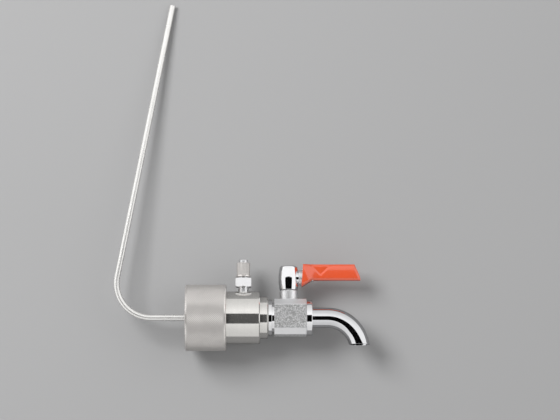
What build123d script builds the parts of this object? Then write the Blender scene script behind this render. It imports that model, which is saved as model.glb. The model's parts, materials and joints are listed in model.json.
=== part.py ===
from build123d import *
import os
from math import sqrt

# Drum faucet: a knurled swivel nut clamps a turned body to the threaded neck of a drum.
# A quarter-turn ball valve and a bent spout pour the liquid, while a thin steel tube and a
# screw vent on top of the body let air back into the drum.
# Millimetres. The origin is the centre of the sealing face that lands on the drum's neck,
# +X runs toward the spout, +Z up along the valve stem, +Y away from the viewer.

# Clearances
thread_clearance = 0.1
sliding_clearance = 0.1
running_clearance = 0.4

# Coupling nut, for a G 2 pipe thread
drum_thread_minor = 56.66
drum_thread_height = 1.77
drum_thread_depth = 28.0
nut_wall = 2.6
nut_edge_chamfer = 0.9
nut_relief_width = 3.5
nut_lip_thickness = 4.3
nut_lip_gap = 0.2
nut_mouth_chamfer = 1.5

# Drum gasket
gasket_inset = 0.1
gasket_width = 6.0
gasket_thickness = 3.0

# Body turned from bar: flange under the nut's lip, barrel, and the boss that takes the valve
flange_clearance = 0.23
flange_thickness = 5.0
flange_step = 2.1
barrel_end = 45.7
barrel_chamfer = 0.9
boss_step = 5.2
boss_length = 7.8
boss_chamfer = 0.7
mouth_wall = 6.0
mouth_depth = 10.0
mouth_chamfer = 1.2
hub_diameter = 11.6
hub_length = 6.0
web_end = 36.0
liquid_hole_diameter = 8.0
liquid_hole_circle = 20.0
liquid_hole_spacing = 60.0
liquid_hole_count = 5
chamber_margin = 0.75
chamber_length = 4.0

# Air tube
air_tube_diameter = 6.0
air_tube_wall = 0.8
air_tube_socket_end = 24.0
air_tube_bend_start = -61.8
air_tube_bend_radius = 34.5
air_tube_bend_angle = 101.1
air_tube_leg = 278.2
air_drilling_diameter = 4.0
air_drilling_overrun = 1.5
vent_drilling_diameter = 3.5

# Screw vent on top of the barrel
vent_position = 29.3
vent_spot_face_diameter = 15.0
vent_spot_face_depth = 1.0
vent_thread_diameter = 9.1
vent_thread_length = 9.5
vent_neck_diameter = 8.0
vent_neck_length = 6.8
vent_hex_across_flats = 15.5
vent_hex_height = 9.0
vent_hex_chamfer = 1.1
vent_stud_diameter = 7.0
vent_stud_length = 6.7
vent_bore_diameter = 3.0
vent_flat_depth = 0.8
vent_pad_thickness = 1.6
vent_pad_clearance = 0.05
vent_cap_diameter = 14.0
vent_cap_rim_diameter = 14.6
vent_cap_rim_height = 1.6
vent_cap_gap = 1.2
vent_cap_play = 0.5
vent_cap_height = 12.8
vent_cap_edge_chamfer = 1.0
vent_nub_diameter = 8.0
vent_nub_height = 2.7

# Ball valve body
inlet_thread_diameter = 25.3
inlet_thread_length = 12.5
inlet_washer_inset = 0.65
inlet_washer_thickness = 0.5
shoulder_rise = 0.6
shoulder_width = 4.5
shoulder_chamfer = 0.5
neck_groove_depth = 2.35
neck_groove_width = 1.5
block_wall = 2.5
block_length = 31.5
block_corner_chamfer = 5.6
block_turned_rise = 1.25
block_turned_length = 2.2
inlet_bore = 15.0
cavity_clearance = 0.55
seat_step = 3.2

# Ball and its seats
stem_position = 74.0
ball_diameter = 22.0
ball_bore = 14.0
ball_slot_width = 4.5
ball_slot_depth = 3.1
seat_bore = 14.5
seat_inner_face = 4.8
seat_outer_face = 9.6
seat_clearance = 0.08

# End adapter and spout
adapter_thread_end = 2.1
adapter_neck_step = 0.7
adapter_ring_rise = 0.25
adapter_ring_width = 6.0
adapter_ring_chamfer = 0.8
adapter_step = 4.0
adapter_o_ring_section = 1.7
spout_diameter = 20.0
spout_wall = 1.0
spout_bend_start = 112.3
spout_bend_radius = 32.0
spout_drop = 26.6

# Bonnet and stem
bonnet_thread_diameter = 15.9
bonnet_thread_length = 5.5
bonnet_diameter = 18.2
bonnet_height = 9.6
bonnet_chamfer = 0.6
stem_diameter = 8.0
stem_collar_diameter = 11.0
stem_collar_height = 1.7
thrust_washer_thickness = 0.8
stem_collar_inset = 0.5
stem_tang_gap = 0.2
stem_square = 6.0
stem_square_length = 14.6
stem_o_ring_section = 1.4
stem_o_ring_heights = (17.4, 21.6)
stop_pin_diameter = 2.0
stop_pin_circle = 6.9
stop_pin_depth = 4.0
stop_pin_height = 1.6
stop_pin_clearance = 0.4
quarter_turn = 90.0

# Handle head, screw and lever
head_gap = 0.5
head_height = 23.9
head_diameter = 19.8
head_end_diameter = 17.8
head_top_round = 2.2
socket_end_clearance = 0.2
head_web_thickness = 2.7
head_recess_diameter = 7.0
head_boss_diameter = 13.6
head_boss_reach = 10.1
screw_diameter = 3.0
screw_hole_diameter = 3.4
screw_length = 10.0
screw_head_diameter = 5.5
screw_head_height = 3.0
screw_socket = 2.5
lever_height = 39.6
shank_spigot_diameter = 5.9
shank_spigot_length = 5.4
collar_diameter = 15.5
collar_width = 4.2
collar_groove_depth = 0.7
collar_groove_width = 0.8
shank_root_diameter = 8.0
shank_root_length = 10.0
shank_tip_diameter = 4.4
shank_tip_length = 22.0
grip_end = 146.1
grip_top = 52.8
grip_bottom = 38.0
grip_root_bottom = 31.8
grip_root_taper = 10.0
grip_end_slant = 7.6
grip_end_land = 3.0
grip_thickness = 8.0
grip_root_thickness = 15.6
grip_root_land = 3.5
grip_scoop_length = 18.0
grip_bevel = 1.5

# Diameters of the nut and the body, from the drum's thread
nut_relief_diameter = drum_thread_minor + 2 * drum_thread_height
nut_diameter = nut_relief_diameter + 2 * nut_wall
flange_diameter = drum_thread_minor - 2 * flange_clearance
gasket_diameter = flange_diameter - 2 * gasket_inset
gasket_bore = gasket_diameter - 2 * gasket_width
barrel_diameter = flange_diameter - 2 * flange_step
boss_diameter = barrel_diameter - 2 * boss_step
mouth_diameter = barrel_diameter - 2 * mouth_wall
chamber_diameter = liquid_hole_circle + liquid_hole_diameter + 2 * chamber_margin

# Widths of the valve, from the ball outwards
cavity_diameter = ball_diameter + 2 * cavity_clearance
adapter_bore = cavity_diameter + 2 * seat_step
adapter_thread_diameter = adapter_bore - thread_clearance
block_across_flats = adapter_bore + 2 * block_wall
block_turned_diameter = block_across_flats + 2 * block_turned_rise
shoulder_diameter = block_across_flats + 2 * shoulder_rise
neck_groove_diameter = shoulder_diameter - 2 * neck_groove_depth
inlet_washer_diameter = shoulder_diameter - 2 * inlet_washer_inset
adapter_neck_diameter = adapter_thread_diameter - 2 * adapter_neck_step
adapter_ring_diameter = block_across_flats + 2 * adapter_ring_rise
stem_tang_width = 2 * (seat_inner_face - sliding_clearance)

# Places along the faucet's axis
flange_start = gasket_thickness
flange_end = flange_start + flange_thickness
lip_start = flange_end + nut_lip_gap
nut_start = -drum_thread_depth
nut_end = lip_start + nut_lip_thickness
web_start = flange_start + mouth_depth
boss_end = barrel_end + boss_length
shoulder_start = boss_end + inlet_washer_thickness
shoulder_end = shoulder_start + shoulder_width
block_start = shoulder_end + neck_groove_width
block_end = block_start + block_length
inlet_seat_back = stem_position - seat_outer_face
outlet_seat_back = stem_position + seat_outer_face
thread_end = block_end - adapter_thread_end
spout_start = outlet_seat_back + adapter_step
ring_end = block_end + adapter_ring_width

# Heights along the valve stem
block_top = block_across_flats / 2
bonnet_top = block_top + bonnet_height
bonnet_foot = block_top - bonnet_thread_length
collar_foot = bonnet_foot + stem_collar_inset
washer_foot = collar_foot + stem_collar_height
collar_top = washer_foot + thrust_washer_thickness
head_foot = bonnet_top + head_gap
head_top = head_foot + head_height
square_top = bonnet_top + stem_square_length
web_foot = square_top + socket_end_clearance
web_top = web_foot + head_web_thickness
ball_slot_floor = ball_diameter / 2 - ball_slot_depth

# Heights along the vent
vent_seat = barrel_diameter / 2 - vent_spot_face_depth
vent_hex_foot = vent_seat + vent_neck_length
vent_hex_top = vent_hex_foot + vent_hex_height
vent_stud_top = vent_hex_top + vent_stud_length
vent_cap_foot = vent_hex_top + vent_cap_gap
vent_cap_top = vent_cap_foot + vent_cap_height

stem_plane = Plane.XY.move(Location((stem_position, 0, 0)))
vent_plane = Plane.XY.move(Location((vent_position, 0, 0)))
lever_plane = Plane((0, 0, lever_height), x_dir=(0, 1, 0), z_dir=(1, 0, 0))
along = (Align.CENTER, Align.CENTER, Align.MIN)

os.makedirs("parts", exist_ok=True)


def rod(plane, start, end, diameter, mode=Mode.ADD):
    """Adds or cuts a round bar along a plane's normal, between two distances from it."""
    with Locations(plane.offset(start)):
        Cylinder(diameter / 2, end - start, align=along, mode=mode)


def finish(piece, name):
    """Names a finished piece and writes it to its own file."""
    piece.part.label = name
    export_step(piece.part, f"parts/{name}.step")


# Coupling nut: threaded mouth, relief for the flange, and the lip that pulls on it
with BuildPart() as coupling_nut:
    with BuildSketch(Plane.XZ):
        with BuildLine():
            Polyline(
                (nut_start, drum_thread_minor / 2 + nut_mouth_chamfer),
                (nut_start + nut_mouth_chamfer, drum_thread_minor / 2),
                (-nut_relief_width, drum_thread_minor / 2),
                (-nut_relief_width, nut_relief_diameter / 2),
                (lip_start, nut_relief_diameter / 2),
                (lip_start, (barrel_diameter + running_clearance) / 2),
                (nut_end, (barrel_diameter + running_clearance) / 2),
                (nut_end, nut_diameter / 2 - nut_edge_chamfer),
                (nut_end - nut_edge_chamfer, nut_diameter / 2),
                (nut_start + nut_edge_chamfer, nut_diameter / 2),
                (nut_start, nut_diameter / 2 - nut_edge_chamfer),
                close=True,
            )
        make_face()
    revolve(axis=Axis.X)
finish(coupling_nut, "coupling_nut")

# Drum gasket: a flat ring on the flange's face
with BuildPart() as drum_gasket:
    rod(Plane.YZ, 0, gasket_thickness, gasket_diameter)
    rod(Plane.YZ, 0, gasket_thickness, gasket_bore, Mode.SUBTRACT)
finish(drum_gasket, "drum_gasket")

# Tap body: mouth, pierced web with the hub that holds the air tube, and the valve port
with BuildPart() as tap_body:
    rod(Plane.YZ, flange_start, flange_end, flange_diameter)
    rod(Plane.YZ, flange_end, barrel_end, barrel_diameter)
    barrel_rim = tap_body.edges().filter_by(GeomType.CIRCLE).group_by(Axis.X)[-1]
    chamfer(barrel_rim, barrel_chamfer)
    rod(Plane.YZ, barrel_end, boss_end, boss_diameter)
    boss_rim = tap_body.edges().filter_by(GeomType.CIRCLE).group_by(Axis.X)[-1]
    chamfer(boss_rim, boss_chamfer)
    rod(Plane.YZ, flange_start, web_start, mouth_diameter, Mode.SUBTRACT)
    mouth_rim = tap_body.edges().filter_by(GeomType.CIRCLE).group_by(Axis.X)[0]
    chamfer(mouth_rim.sort_by(SortBy.RADIUS)[0], mouth_chamfer)
    rod(Plane.YZ, web_start - hub_length, web_start, hub_diameter)
    with BuildSketch(Plane.YZ.offset(web_start)):
        with PolarLocations(
            liquid_hole_circle / 2,
            liquid_hole_count,
            start_angle=90 + liquid_hole_spacing,
            angular_range=liquid_hole_spacing * (liquid_hole_count - 1),
            endpoint=True,
        ):
            Circle(liquid_hole_diameter / 2)
    extrude(amount=web_end - web_start, mode=Mode.SUBTRACT)
    rod(Plane.YZ, web_end, web_end + chamber_length, chamber_diameter, Mode.SUBTRACT)
    port_diameter = inlet_thread_diameter + thread_clearance
    rod(Plane.YZ, web_end, boss_end, port_diameter, Mode.SUBTRACT)
    rod(Plane.YZ, web_start - hub_length, air_tube_socket_end, air_tube_diameter, Mode.SUBTRACT)
    air_bore_end = vent_position + air_drilling_diameter / 2 + air_drilling_overrun
    rod(Plane.YZ, air_tube_socket_end, air_bore_end, air_drilling_diameter, Mode.SUBTRACT)
    rod(vent_plane, 0, vent_seat, vent_drilling_diameter, Mode.SUBTRACT)
    vent_port_floor = vent_seat - vent_thread_length - thread_clearance
    vent_port_diameter = vent_thread_diameter + thread_clearance
    rod(vent_plane, vent_port_floor, vent_seat, vent_port_diameter, Mode.SUBTRACT)
    spot_face_top = barrel_diameter / 2 + vent_spot_face_depth
    rod(vent_plane, vent_seat, spot_face_top, vent_spot_face_diameter, Mode.SUBTRACT)
finish(tap_body, "tap_body")

# Air tube: out of the hub along the axis, one bend, and a long leg leaning over the nut
with BuildPart() as air_tube:
    with BuildLine(Plane.XZ) as air_route:
        run = Line((air_tube_socket_end, 0), (air_tube_bend_start, 0))
        bend = JernArc(run @ 1, (-1, 0), air_tube_bend_radius, -air_tube_bend_angle)
        Line(bend @ 1, bend @ 1 + (bend % 1) * air_tube_leg)
    with BuildSketch(Plane.YZ.offset(air_tube_socket_end)):
        Circle(air_tube_diameter / 2)
        Circle(air_tube_diameter / 2 - air_tube_wall, mode=Mode.SUBTRACT)
    sweep(path=air_route.line)
finish(air_tube, "air_tube")

# Inlet washer: thin ring between the boss and the valve's shoulder
with BuildPart() as inlet_washer:
    rod(Plane.YZ, boss_end, shoulder_start, inlet_washer_diameter)
    washer_bore = inlet_thread_diameter + running_clearance
    rod(Plane.YZ, boss_end, shoulder_start, washer_bore, Mode.SUBTRACT)
finish(inlet_washer, "inlet_washer")

# Valve body: bevelled square block with a turned lead-in, shoulder and inlet thread
with BuildPart() as valve_body:
    with BuildSketch(Plane.YZ.offset(block_start)) as block_section:
        Rectangle(block_across_flats, block_across_flats)
        chamfer(block_section.vertices(), block_corner_chamfer)
    extrude(amount=block_length)
    with BuildSketch(Plane.XZ):
        with BuildLine():
            Polyline(
                (block_start, 0),
                (block_start, block_turned_diameter / 2),
                (block_start + block_turned_length, block_turned_diameter / 2 + block_turned_length),
                (block_end, block_turned_diameter / 2 + block_turned_length),
                (block_end, 0),
                close=True,
            )
        make_face()
    revolve(axis=Axis.X, mode=Mode.INTERSECT)
    rod(Plane.YZ, shoulder_end, block_start, neck_groove_diameter)
    with BuildSketch(Plane.XZ):
        with BuildLine():
            Polyline(
                (shoulder_start, 0),
                (shoulder_start, shoulder_diameter / 2 - shoulder_chamfer),
                (shoulder_start + shoulder_chamfer, shoulder_diameter / 2),
                (shoulder_end - shoulder_chamfer, shoulder_diameter / 2),
                (shoulder_end, shoulder_diameter / 2 - shoulder_chamfer),
                (shoulder_end, 0),
                close=True,
            )
        make_face()
    revolve(axis=Axis.X)
    thread_start = shoulder_start - inlet_thread_length
    rod(Plane.YZ, thread_start, shoulder_start, inlet_thread_diameter)
    rod(Plane.YZ, thread_start, stem_position, inlet_bore, Mode.SUBTRACT)
    rod(Plane.YZ, inlet_seat_back, block_end, cavity_diameter, Mode.SUBTRACT)
    rod(Plane.YZ, outlet_seat_back, block_end, adapter_bore, Mode.SUBTRACT)
    seal_bore = adapter_neck_diameter + 2 * adapter_o_ring_section
    rod(Plane.YZ, thread_end, block_end, seal_bore, Mode.SUBTRACT)
    bonnet_bore = bonnet_thread_diameter + thread_clearance
    rod(stem_plane, 0, block_top, bonnet_bore, Mode.SUBTRACT)
finish(valve_body, "valve_body")

# Valve ball: cross bore, and a slot across the flow for the stem's tang
with BuildPart() as valve_ball:
    with Locations(stem_plane):
        Sphere(ball_diameter / 2)
    ball_ends = (stem_position - ball_diameter / 2, stem_position + ball_diameter / 2)
    rod(Plane.YZ, *ball_ends, ball_bore, Mode.SUBTRACT)
    with BuildSketch(stem_plane.offset(ball_slot_floor)):
        Rectangle(ball_slot_width, ball_diameter)
    extrude(amount=ball_slot_depth, mode=Mode.SUBTRACT)
finish(valve_ball, "valve_ball")

# Seats: two rings hollowed to the ball, one on each side of it
seat_diameter = cavity_diameter - sliding_clearance
with BuildPart() as inlet_seat:
    seat_front = stem_position - seat_inner_face
    rod(Plane.YZ, inlet_seat_back, seat_front, seat_diameter)
    rod(Plane.YZ, inlet_seat_back, seat_front, seat_bore, Mode.SUBTRACT)
    with Locations(stem_plane):
        Sphere(ball_diameter / 2 + seat_clearance, mode=Mode.SUBTRACT)
finish(inlet_seat, "inlet_seat")

with BuildPart() as outlet_seat:
    add(mirror(inlet_seat.part, about=Plane.YZ.offset(stem_position), mode=Mode.PRIVATE))
finish(outlet_seat, "outlet_seat")

# End adapter: screws in behind the outlet seat and holds the spout
with BuildPart() as end_adapter:
    rod(Plane.YZ, outlet_seat_back, thread_end, adapter_thread_diameter)
    rod(Plane.YZ, thread_end, block_end, adapter_neck_diameter)
    with BuildSketch(Plane.XZ):
        with BuildLine():
            Polyline(
                (block_end, 0),
                (block_end, adapter_ring_diameter / 2 - adapter_ring_chamfer),
                (block_end + adapter_ring_chamfer, adapter_ring_diameter / 2),
                (ring_end - adapter_ring_chamfer, adapter_ring_diameter / 2),
                (ring_end, adapter_ring_diameter / 2 - adapter_ring_chamfer),
                (ring_end, 0),
                close=True,
            )
        make_face()
    revolve(axis=Axis.X)
    rod(Plane.YZ, outlet_seat_back, spout_start, inlet_bore, Mode.SUBTRACT)
    rod(Plane.YZ, spout_start, ring_end, spout_diameter, Mode.SUBTRACT)
finish(end_adapter, "end_adapter")

# Adapter O-ring: squeezed between the adapter's neck and the body
with BuildPart() as adapter_o_ring:
    o_ring_middle = (thread_end + block_end) / 2
    o_ring_circle = adapter_neck_diameter + adapter_o_ring_section
    with Locations(Plane.YZ.offset(o_ring_middle)):
        Torus(o_ring_circle / 2, adapter_o_ring_section / 2)
finish(adapter_o_ring, "adapter_o_ring")

# Spout: a tube bent down through a quarter turn and cut off level
with BuildPart() as spout_tube:
    with BuildLine(Plane.XZ) as spout_route:
        run = Line((spout_start, 0), (spout_bend_start, 0))
        JernArc(run @ 1, (1, 0), spout_bend_radius, -90)
    with BuildSketch(Plane.YZ.offset(spout_start)):
        Circle(spout_diameter / 2)
        Circle(spout_diameter / 2 - spout_wall, mode=Mode.SUBTRACT)
    sweep(path=spout_route.line)
    split(bisect_by=Plane.XY.offset(-spout_drop), keep=Keep.TOP)
finish(spout_tube, "spout_tube")

# Bonnet: screws into the block, guides the stem and carries the stop pin
stem_bore = stem_diameter + sliding_clearance
stop_plane = stem_plane.rotated((0, 0, -quarter_turn))
with BuildPart() as bonnet:
    rod(stem_plane, bonnet_foot, block_top, bonnet_thread_diameter)
    rod(stem_plane, block_top, bonnet_top, bonnet_diameter)
    bonnet_rim = bonnet.edges().filter_by(GeomType.CIRCLE).group_by(Axis.Z)[-1]
    chamfer(bonnet_rim, bonnet_chamfer)
    rod(stem_plane, bonnet_foot, bonnet_top, stem_bore, Mode.SUBTRACT)
    collar_bore = stem_collar_diameter + running_clearance
    rod(stem_plane, bonnet_foot, collar_top, collar_bore, Mode.SUBTRACT)
    with Locations(stop_plane.offset(bonnet_top - stop_pin_depth)):
        with Locations((stop_pin_circle, 0)):
            Cylinder(stop_pin_diameter / 2, stop_pin_depth, align=along, mode=Mode.SUBTRACT)
finish(bonnet, "bonnet")

# Stop pin: stands out of the bonnet into the groove under the handle head
with BuildPart() as stop_pin:
    with Locations(stop_plane.offset(bonnet_top - stop_pin_depth)):
        with Locations((stop_pin_circle, 0)):
            Cylinder(stop_pin_diameter / 2, stop_pin_depth + stop_pin_height, align=along)
finish(stop_pin, "stop_pin")

# Stem: tang in the ball's slot, collar, two O-ring grooves, and the square for the head
groove_diameter = stem_bore - 2 * stem_o_ring_section
with BuildPart() as stem:
    tang_thickness = ball_slot_width - sliding_clearance
    with BuildSketch(stem_plane.offset(ball_slot_floor + stem_tang_gap)):
        Circle(stem_tang_width / 2)
        Rectangle(tang_thickness, stem_tang_width, mode=Mode.INTERSECT)
    extrude(amount=collar_foot - ball_slot_floor - stem_tang_gap)
    rod(stem_plane, collar_foot, washer_foot, stem_collar_diameter)
    rod(stem_plane, collar_foot, bonnet_top, stem_diameter)
    with BuildSketch(stem_plane.offset(bonnet_top)):
        Rectangle(stem_square, stem_square)
        Circle(stem_diameter / 2, mode=Mode.INTERSECT)
    extrude(amount=stem_square_length)
    for groove_height in stem_o_ring_heights:
        groove_foot = groove_height - stem_o_ring_section * 0.6
        with BuildSketch(stem_plane.offset(groove_foot)):
            Circle(stem_diameter / 2)
            Circle(groove_diameter / 2, mode=Mode.SUBTRACT)
        extrude(amount=stem_o_ring_section * 1.2, mode=Mode.SUBTRACT)
    rod(stem_plane, web_top - screw_length, square_top, screw_diameter + thread_clearance, Mode.SUBTRACT)
finish(stem, "stem")

# Thrust washer: between the stem's collar and the bonnet
with BuildPart() as thrust_washer:
    rod(stem_plane, washer_foot, collar_top, stem_collar_diameter)
    rod(stem_plane, washer_foot, collar_top, stem_bore, Mode.SUBTRACT)
finish(thrust_washer, "thrust_washer")

# Stem O-rings: one in each groove
with BuildPart() as stem_o_rings:
    for groove_height in stem_o_ring_heights:
        with Locations(stem_plane.offset(groove_height)):
            Torus((groove_diameter + stem_o_ring_section) / 2, stem_o_ring_section / 2)
finish(stem_o_rings, "stem_o_rings")

# Handle head: a barrel-shaped hub with a boss for the lever and a stop groove underneath
stop_arc = CenterArc((0, 0), stop_pin_circle, 0, quarter_turn)
with BuildPart() as handle_head:
    with BuildSketch(Plane.XZ.move(Location((stem_position, 0, 0)))) as head_section:
        with BuildLine():
            side = ThreePointArc(
                (head_end_diameter / 2, head_foot),
                (head_diameter / 2, (head_foot + head_top) / 2),
                (head_end_diameter / 2, head_top),
            )
            Polyline(side @ 1, (0, head_top), (0, head_foot), side @ 0)
        make_face()
        top_corner = head_section.vertices().group_by(Axis.Z)[-1].sort_by(Axis.X)[-1]
        fillet(top_corner, head_top_round)
    revolve(axis=Axis((stem_position, 0, 0), (0, 0, 1)))
    head_boss_end = stem_position + head_boss_reach
    rod(lever_plane, stem_position, head_boss_end, head_boss_diameter)
    spigot_hole = shank_spigot_diameter + thread_clearance
    spigot_start = head_boss_end - shank_spigot_length
    rod(lever_plane, spigot_start - sliding_clearance, head_boss_end, spigot_hole, Mode.SUBTRACT)
    socket_square = stem_square + sliding_clearance
    with BuildSketch(stem_plane.offset(head_foot)):
        Rectangle(socket_square, socket_square)
        Circle(stem_bore / 2, mode=Mode.INTERSECT)
    extrude(amount=web_foot - head_foot, mode=Mode.SUBTRACT)
    rod(stem_plane, web_foot, web_top, screw_hole_diameter, Mode.SUBTRACT)
    rod(stem_plane, web_top, head_top, head_recess_diameter, Mode.SUBTRACT)
    groove_depth = stop_pin_height - head_gap + stop_pin_clearance
    with BuildSketch(stop_plane.offset(head_foot)):
        SlotArc(stop_arc, stop_pin_diameter + stop_pin_clearance)
    extrude(amount=groove_depth, mode=Mode.SUBTRACT)
finish(handle_head, "handle_head")

# Handle screw: holds the head down on the stem
with BuildPart() as handle_screw:
    rod(stem_plane, web_top - screw_length, web_top, screw_diameter)
    rod(stem_plane, web_top, web_top + screw_head_height, screw_head_diameter)
    with BuildSketch(stem_plane.offset(web_top + screw_head_height)):
        RegularPolygon(screw_socket / 2, 6, major_radius=False)
    extrude(amount=-screw_head_height / 2, mode=Mode.SUBTRACT)
finish(handle_screw, "handle_screw")

# Lever shank: spigot in the head, grooved collar, and the tang inside the grip
collar_end = head_boss_end + collar_width
root_end = collar_end + shank_root_length
tip_end = root_end + shank_tip_length
with BuildPart() as lever_shank:
    rod(lever_plane, spigot_start, head_boss_end, shank_spigot_diameter)
    rod(lever_plane, head_boss_end, collar_end, collar_diameter)
    rod(lever_plane, collar_end, root_end, shank_root_diameter)
    rod(lever_plane, root_end, tip_end, shank_tip_diameter)
    for share in (1 / 3, 2 / 3):
        groove_middle = head_boss_end + collar_width * share
        with BuildSketch(lever_plane.offset(groove_middle - collar_groove_width / 2)):
            Circle(collar_diameter / 2)
            Circle(collar_diameter / 2 - collar_groove_depth, mode=Mode.SUBTRACT)
        extrude(amount=collar_groove_width, mode=Mode.SUBTRACT)
finish(lever_shank, "lever_shank")

# Lever grip: a flat bevelled blade, scooped in from a wide root, moulded over the shank
with BuildPart() as lever_grip:
    with BuildSketch(Plane.XZ):
        with BuildLine():
            Polyline(
                (collar_end, grip_root_bottom),
                (collar_end + grip_root_taper, grip_bottom),
                (grip_end, grip_bottom),
                (grip_end, grip_bottom + grip_end_land),
                (grip_end - grip_end_slant, grip_top),
                (collar_end, grip_top),
                close=True,
            )
        make_face()
    extrude(amount=grip_root_thickness / 2, both=True)
    with BuildSketch(Plane.XY.offset(grip_root_bottom)) as grip_plan:
        with BuildLine():
            land_end = collar_end + grip_root_land
            blade_start = land_end + grip_scoop_length
            Line((collar_end, 0), (collar_end, grip_root_thickness / 2))
            Line((collar_end, grip_root_thickness / 2), (land_end, grip_root_thickness / 2))
            scoop_start = (land_end, grip_root_thickness / 2)
            scoop_end = (blade_start, grip_thickness / 2)
            TangentArc(scoop_end, scoop_start, tangent=(-1, 0))
            Line(scoop_end, (grip_end, grip_thickness / 2))
            Line((grip_end, grip_thickness / 2), (grip_end, 0))
            Line((grip_end, 0), (collar_end, 0))
        make_face()
        mirror(about=Plane.XZ)
    extrude(amount=grip_top - grip_root_bottom, mode=Mode.INTERSECT)
    blade_sides = lever_grip.faces().filter_by(Axis.Y).sort_by(SortBy.AREA)[-2:]
    chamfer(blade_sides.edges().filter_by(Axis.Y, reverse=True).filter_by_position(
        Axis.X, blade_start + grip_bevel, grip_end), grip_bevel)
    rod(lever_plane, collar_end, root_end, shank_root_diameter, Mode.SUBTRACT)
    rod(lever_plane, root_end, tip_end, shank_tip_diameter, Mode.SUBTRACT)
finish(lever_grip, "lever_grip")

# Vent body: pipe thread into the barrel, neck, hexagon and the stud that the cap screws on
with BuildPart() as vent_body:
    rod(vent_plane, vent_seat - vent_thread_length, vent_seat, vent_thread_diameter)
    rod(vent_plane, vent_seat, vent_hex_foot, vent_neck_diameter)
    with BuildSketch(vent_plane.offset(vent_hex_foot)):
        RegularPolygon(vent_hex_across_flats / 2, 6, major_radius=False, rotation=30)
    extrude(amount=vent_hex_height)
    with BuildSketch(Plane.XZ.move(Location((vent_position, 0, 0)))):
        with BuildLine():
            corner = vent_hex_across_flats / sqrt(3)
            reach = vent_hex_across_flats / 2
            Polyline(
                (0, vent_seat - vent_thread_length),
                (reach, vent_seat - vent_thread_length),
                (reach, vent_hex_foot),
                (corner, vent_hex_foot + vent_hex_chamfer / 2),
                (corner, vent_hex_top - vent_hex_chamfer / 2),
                (reach, vent_hex_top),
                (0, vent_hex_top),
                close=True,
            )
        make_face()
    revolve(axis=Axis((vent_position, 0, 0), (0, 0, 1)), mode=Mode.INTERSECT)
    rod(vent_plane, vent_hex_top, vent_stud_top, vent_stud_diameter)
    rod(vent_plane, vent_seat - vent_thread_length, vent_stud_top, vent_bore_diameter, Mode.SUBTRACT)
    with BuildSketch(vent_plane.offset(vent_hex_top)):
        with Locations((-vent_stud_diameter / 2, 0)):
            Rectangle(2 * vent_flat_depth, vent_stud_diameter)
    extrude(amount=vent_stud_length, mode=Mode.SUBTRACT)
finish(vent_body, "vent_body")

# Vent pad: the rubber disc that closes the stud's bore
pad_top = vent_stud_top + vent_pad_thickness
with BuildPart() as vent_pad:
    rod(vent_plane, vent_stud_top, pad_top, vent_stud_diameter - sliding_clearance)
finish(vent_pad, "vent_pad")

# Vent cap: a round cap with a rim, screwed down over the stud, and a nub on top
with BuildPart() as vent_cap:
    with BuildSketch(Plane.XZ.move(Location((vent_position, 0, 0)))):
        with BuildLine():
            stud_bore = vent_stud_diameter + 2 * vent_cap_play
            Polyline(
                (0, pad_top + vent_pad_clearance),
                (stud_bore / 2, pad_top + vent_pad_clearance),
                (stud_bore / 2, vent_cap_foot),
                (vent_cap_rim_diameter / 2, vent_cap_foot),
                (vent_cap_rim_diameter / 2, vent_cap_foot + vent_cap_rim_height),
                (vent_cap_diameter / 2, vent_cap_foot + vent_cap_rim_height),
                (vent_cap_diameter / 2, vent_cap_top - vent_cap_edge_chamfer),
                (vent_cap_diameter / 2 - vent_cap_edge_chamfer, vent_cap_top),
                (vent_nub_diameter / 2, vent_cap_top),
                (vent_nub_diameter / 2, vent_cap_top + vent_nub_height),
                (0, vent_cap_top + vent_nub_height),
                close=True,
            )
        make_face()
    revolve(axis=Axis((vent_position, 0, 0), (0, 0, 1)))
finish(vent_cap, "vent_cap")
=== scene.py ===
import json
from math import atan2, cos, pi, radians, sin, tan

import bmesh
import bpy
from bpy.props import FloatProperty, FloatVectorProperty, PointerProperty
from bpy.types import Operator, Panel, PropertyGroup
from mathutils import Matrix, Vector


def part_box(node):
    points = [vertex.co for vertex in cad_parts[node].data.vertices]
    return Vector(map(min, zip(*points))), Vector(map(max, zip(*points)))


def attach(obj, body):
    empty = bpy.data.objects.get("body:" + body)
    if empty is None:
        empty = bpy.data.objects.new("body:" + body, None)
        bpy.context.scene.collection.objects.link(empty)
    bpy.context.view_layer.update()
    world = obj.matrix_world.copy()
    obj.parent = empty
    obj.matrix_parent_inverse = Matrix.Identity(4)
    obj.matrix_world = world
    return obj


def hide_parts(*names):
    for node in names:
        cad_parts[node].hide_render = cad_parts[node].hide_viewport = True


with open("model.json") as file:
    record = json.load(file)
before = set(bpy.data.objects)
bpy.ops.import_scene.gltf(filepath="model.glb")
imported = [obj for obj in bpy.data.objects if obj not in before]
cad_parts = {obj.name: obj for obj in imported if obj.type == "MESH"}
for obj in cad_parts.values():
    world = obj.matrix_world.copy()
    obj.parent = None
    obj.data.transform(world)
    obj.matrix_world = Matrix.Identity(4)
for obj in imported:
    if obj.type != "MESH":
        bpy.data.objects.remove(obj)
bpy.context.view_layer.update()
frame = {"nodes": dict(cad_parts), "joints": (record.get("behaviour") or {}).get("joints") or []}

bl_info = {
    "name": "Drum faucet finish",
    "version": (1, 0, 0),
    "blender": (4, 5, 0),
    "location": "3D View > Sidebar > Faucet",
    "description": "Dresses the faucet's solids in fine meshes, metals and plastic, and sets a plain studio",
    "category": "Object",
}

MM = 0.001
joints = {joint["name"]: joint for joint in frame["joints"]}
barrel_axis = Vector((0, 0, 0))
stem_axis = Vector(joints["valve_turn"]["pos_m"]) / MM
vent_axis = Vector(joints["vent_screw"]["pos_m"]) / MM
ALONG_X = Vector((1, 0, 0))
ALONG_Z = Vector((0, 0, 1))


def span(node):
    """A node's lowest and highest corner, in millimetres."""
    low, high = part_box(node)
    return low / MM, high / MM


# Sizes, colours and stage settings that a user would change

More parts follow.
